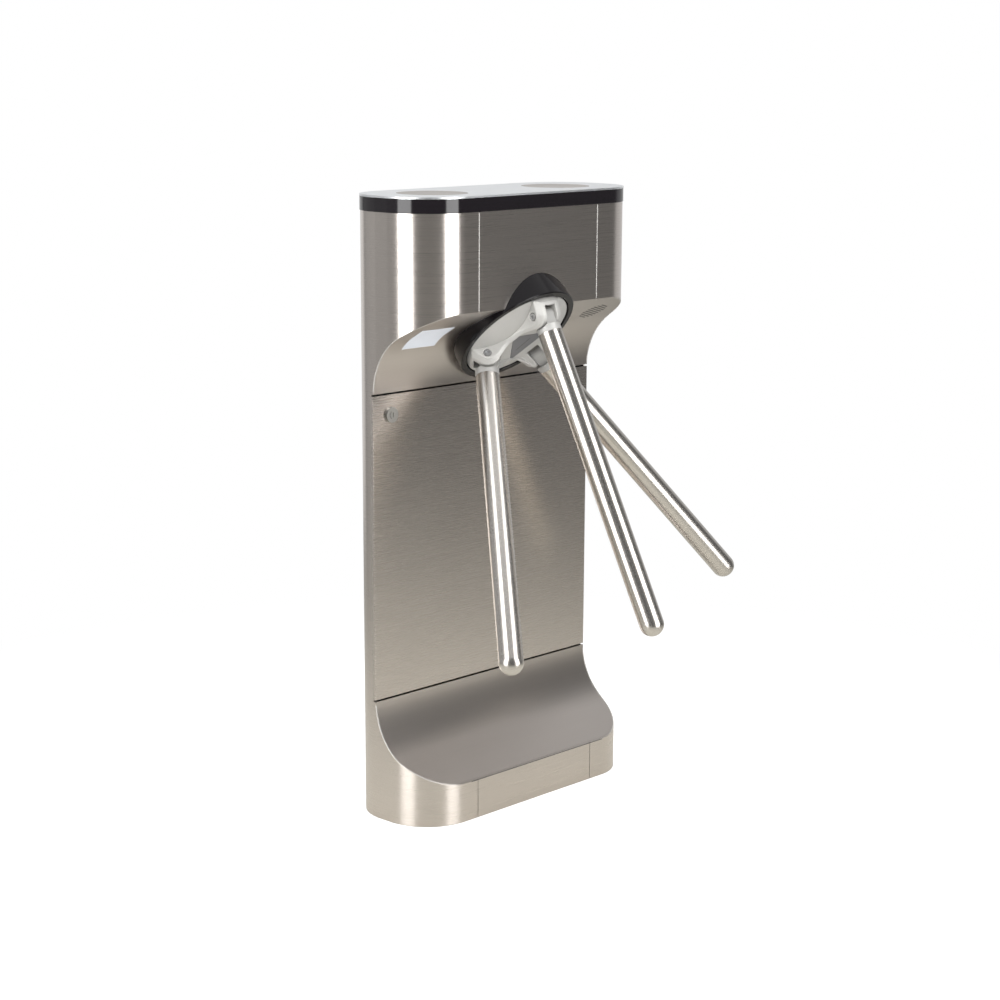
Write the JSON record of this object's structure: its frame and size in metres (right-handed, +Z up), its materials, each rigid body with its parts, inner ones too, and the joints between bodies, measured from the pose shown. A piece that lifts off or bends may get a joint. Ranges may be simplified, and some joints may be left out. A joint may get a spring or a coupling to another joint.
{
  "type": "tripod turnstile",
  "caption": "Walk-through gate cabinet with an inclined turning hub and drop arms over a set-back service panel.",
  "frame": {"origin": "on the floor, at the centre of the anchor holes", "axes": "+Z up, +X along the cabinet to the right of a person facing the hub, the hub and the arms face -Y"},
  "size_m": [0.6522, 0.4457, 0.98],
  "materials": {
    "sheet": "fine horizontal brushing",
    "top_sheet": "satin",
    "black_gloss": "high gloss",
    "window": "smooth",
    "pale_plate": "satin",
    "casting": "bead blasted",
    "dark_cap": "satin",
    "arm_steel": "polished",
    "bright_steel": "polished",
    "machined_steel": "machined",
    "frame_paint": "powder coat",
    "coil_paint": "lacquer",
    "zinc": "zinc plated",
    "brass": "turned",
    "board": "solder mask",
    "terminal": "moulded",
    "black_plastic": "moulded",
    "grommet": "moulded"
  },
  "bodies": {
    "cabinet": {"base_plate": "frame_paint", "cable_grommet": "grommet", "left_cheek": "sheet", "right_cheek": "sheet", "back_panel": "sheet", "front_fascia": "sheet", "plinth_front": "sheet", "upper_cowl": "sheet", "lower_cowl": "sheet", "service_panel": "sheet", "top_tray": "zinc", "cap_band": "black_gloss", "top_plate": "top_sheet", "reader_window_left": "window", "reader_window_right": "window", "reader_units": "board", "blank_plate": "pale_plate", "hub_collar": "black_gloss", "drive_plate": "frame_paint", "frame_posts": "frame_paint", "side_gussets": "frame_paint", "motion_damper": "zinc", "bearing_housing": "zinc", "front_bearing": "machined_steel", "rear_bearing": "machined_steel", "housing_screws": "machined_steel", "rear_pillars": "zinc", "rear_bracket": "zinc", "left_lock_solenoid": "coil_paint", "right_lock_solenoid": "coil_paint", "drop_solenoid": "coil_paint", "position_sensor": "black_plastic", "equipment_plate": "zinc", "power_supply": "zinc", "control_board": "board", "board_standoffs": "brass", "terminal_block": "terminal", "speaker": "black_plastic", "lock_barrel": "bright_steel", "lock_strike": "zinc"},
    "hub": {"hub_dish": "casting", "hub_star": "casting", "central_cap": "dark_cap", "hub_screws": "machined_steel", "hub_bolts": "machined_steel", "pivot_pins": "bright_steel", "hub_shaft": "machined_steel", "index_wheel": "machined_steel", "shaft_nut": "machined_steel"},
    "arm_1": {"arm_1_fitting": "casting", "arm_1_tube": "arm_steel"},
    "arm_2": {"arm_2_fitting": "casting", "arm_2_tube": "arm_steel"},
    "arm_3": {"arm_3_fitting": "casting", "arm_3_tube": "arm_steel"},
    "release": {"release_rod": "machined_steel"},
    "panel_key": {"lock_plug": "bright_steel", "lock_cam": "machined_steel"},
    "left_bolt": {"left_lock_bolt": "machined_steel"},
    "right_bolt": {"right_lock_bolt": "machined_steel"}
  },
  "joints": [
    {"name": "hub_spin", "type": "hinge", "parent": "cabinet", "child": "hub", "pos_m": [0, -0.05, 0.755], "axis": [0, -0.7071, -0.7071], "continuous": true},
    {"name": "arm_1_drop", "type": "hinge", "parent": "hub", "child": "arm_1", "pos_m": [-0.0567, -0.03536, 0.71915], "axis": [0.5329, 0.5983, -0.5983], "range_deg": [-26.5, 18.5]},
    {"name": "arm_2_drop", "type": "hinge", "parent": "hub", "child": "arm_2", "pos_m": [-0.00257, -0.10795, 0.79173], "axis": [-0.9993, 0.0271, -0.0271], "range_deg": [0, 64]},
    {"name": "arm_3_drop", "type": "hinge", "parent": "hub", "child": "arm_3", "pos_m": [0.05927, -0.03851, 0.7223], "axis": [0.4664, -0.6255, 0.6255], "range_deg": [-43, 2]},
    {"name": "release_slide", "type": "slide", "parent": "hub", "child": "release", "axis": [0, 0.7071, 0.7071], "range_m": [0, 0.006]},
    {"name": "panel_lock_turn", "type": "hinge", "parent": "cabinet", "child": "panel_key", "pos_m": [-0.2095, 0.0214, 0.6445], "axis": [0, 1, 0], "range_deg": [0, 90]},
    {"name": "left_bolt_slide", "type": "slide", "parent": "cabinet", "child": "left_bolt", "axis": [1, 0, 0], "range_m": [0, 0.009], "stiffness_N_per_m": 60},
    {"name": "right_bolt_slide", "type": "slide", "parent": "cabinet", "child": "right_bolt", "axis": [-1, 0, 0], "range_m": [0, 0.009], "stiffness_N_per_m": 60}
  ]
}
